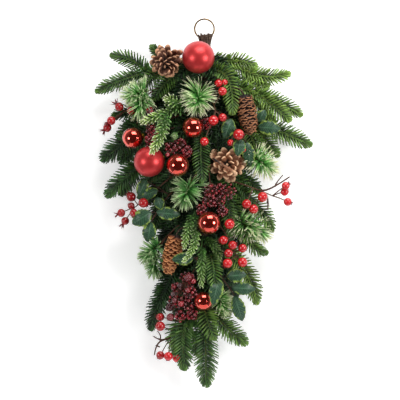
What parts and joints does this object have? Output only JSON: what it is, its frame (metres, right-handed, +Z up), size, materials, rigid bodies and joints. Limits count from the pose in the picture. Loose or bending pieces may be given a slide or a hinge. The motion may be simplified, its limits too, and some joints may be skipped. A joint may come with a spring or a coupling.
{
  "type": "christmas door swag",
  "caption": "Teardrop swag of artificial spruce, frosted pine, leaves, berries, cones and red baubles on a wrapped stem, with a wire ring to hang it flat on a door.",
  "frame": {"origin": "the point on the inner top of the hanging ring's wire that bears on the hook", "axes": "+Z up along the hanging swag, -Y out of the door towards the viewer, +X to the viewer's right"},
  "size_m": [0.4042, 0.1119, 0.6878],
  "materials": {
    "bronze": "antique bronze, satin",
    "florist_wire": "dark green enamel",
    "stem_wrap": "dark brown wrapped stalks, matte",
    "matte_red": "satin metallic red",
    "shiny_red": "mirror red",
    "cone_brown": "dry natural cone, pale scale edges",
    "spruce_green": "moulded needles, soft sheen",
    "frosted_green": "frosted needles",
    "flocked_green": "flocked pale needles",
    "leaf_green": "waxed cloth leaves with pale waved margins",
    "berry_red": "lacquered",
    "bead_burgundy": "sugared beads"
  },
  "bodies": {
    "root": {"hang_ring": "bronze", "binding_wire": "florist_wire", "wrapped_stem": "stem_wrap", "matte_bauble_top": "matte_red", "matte_bauble_left": "matte_red", "shiny_bauble_left": "shiny_red", "shiny_bauble_upper": "shiny_red", "shiny_bauble_middle": "shiny_red", "shiny_bauble_lower": "shiny_red", "shiny_bauble_bottom": "shiny_red", "open_cone_top": "cone_brown", "open_cone_middle": "cone_brown", "long_cone_right": "cone_brown", "long_cone_left": "cone_brown", "spruce_bough_left_top": "spruce_green", "spruce_bough_left_berry": "spruce_green", "spruce_bough_left_upper": "spruce_green", "spruce_bough_left_lower": "spruce_green", "spruce_bough_left_inner": "spruce_green", "spruce_bough_left_base": "spruce_green", "spruce_bough_right_top": "spruce_green", "spruce_bough_right_drop": "spruce_green", "spruce_bough_right_wide": "spruce_green", "spruce_bough_right_upper": "spruce_green", "spruce_bough_right_inner": "spruce_green", "spruce_bough_right_lower": "spruce_green", "spruce_bough_right_base": "spruce_green", "spruce_bough_bottom_right": "spruce_green", "spruce_bough_bottom": "spruce_green", "spruce_bough_centre": "spruce_green", "spruce_bough_centre_low": "spruce_green", "spruce_bough_centre_base": "spruce_green", "frosted_pine_top": "frosted_green", "frosted_pine_left_top": "frosted_green", "frosted_pine_right_top": "frosted_green", "frosted_pine_middle": "frosted_green", "frosted_pine_left_low": "frosted_green", "frosted_pine_right_low": "frosted_green", "frosted_pine_base": "frosted_green", "flocked_sprig_top": "flocked_green", "flocked_sprig_left": "flocked_green", "flocked_sprig_long": "flocked_green", "leafy_stem_top": "leaf_green", "leafy_stem_right": "leaf_green", "leafy_stem_left": "leaf_green", "leafy_stem_middle": "leaf_green", "leafy_stem_base": "leaf_green", "berry_spray_right": "berry_red", "berry_spray_low": "berry_red", "berry_spray_upper": "berry_red", "berry_spray_hip": "berry_red", "berry_spray_left_top": "berry_red", "berry_spray_left": "berry_red", "berry_spray_bottom": "berry_red", "bead_cluster_left": "bead_burgundy", "bead_cluster_upper": "bead_burgundy", "bead_cluster_middle": "bead_burgundy", "bead_cluster_base": "bead_burgundy"}
  },
  "joints": []
}
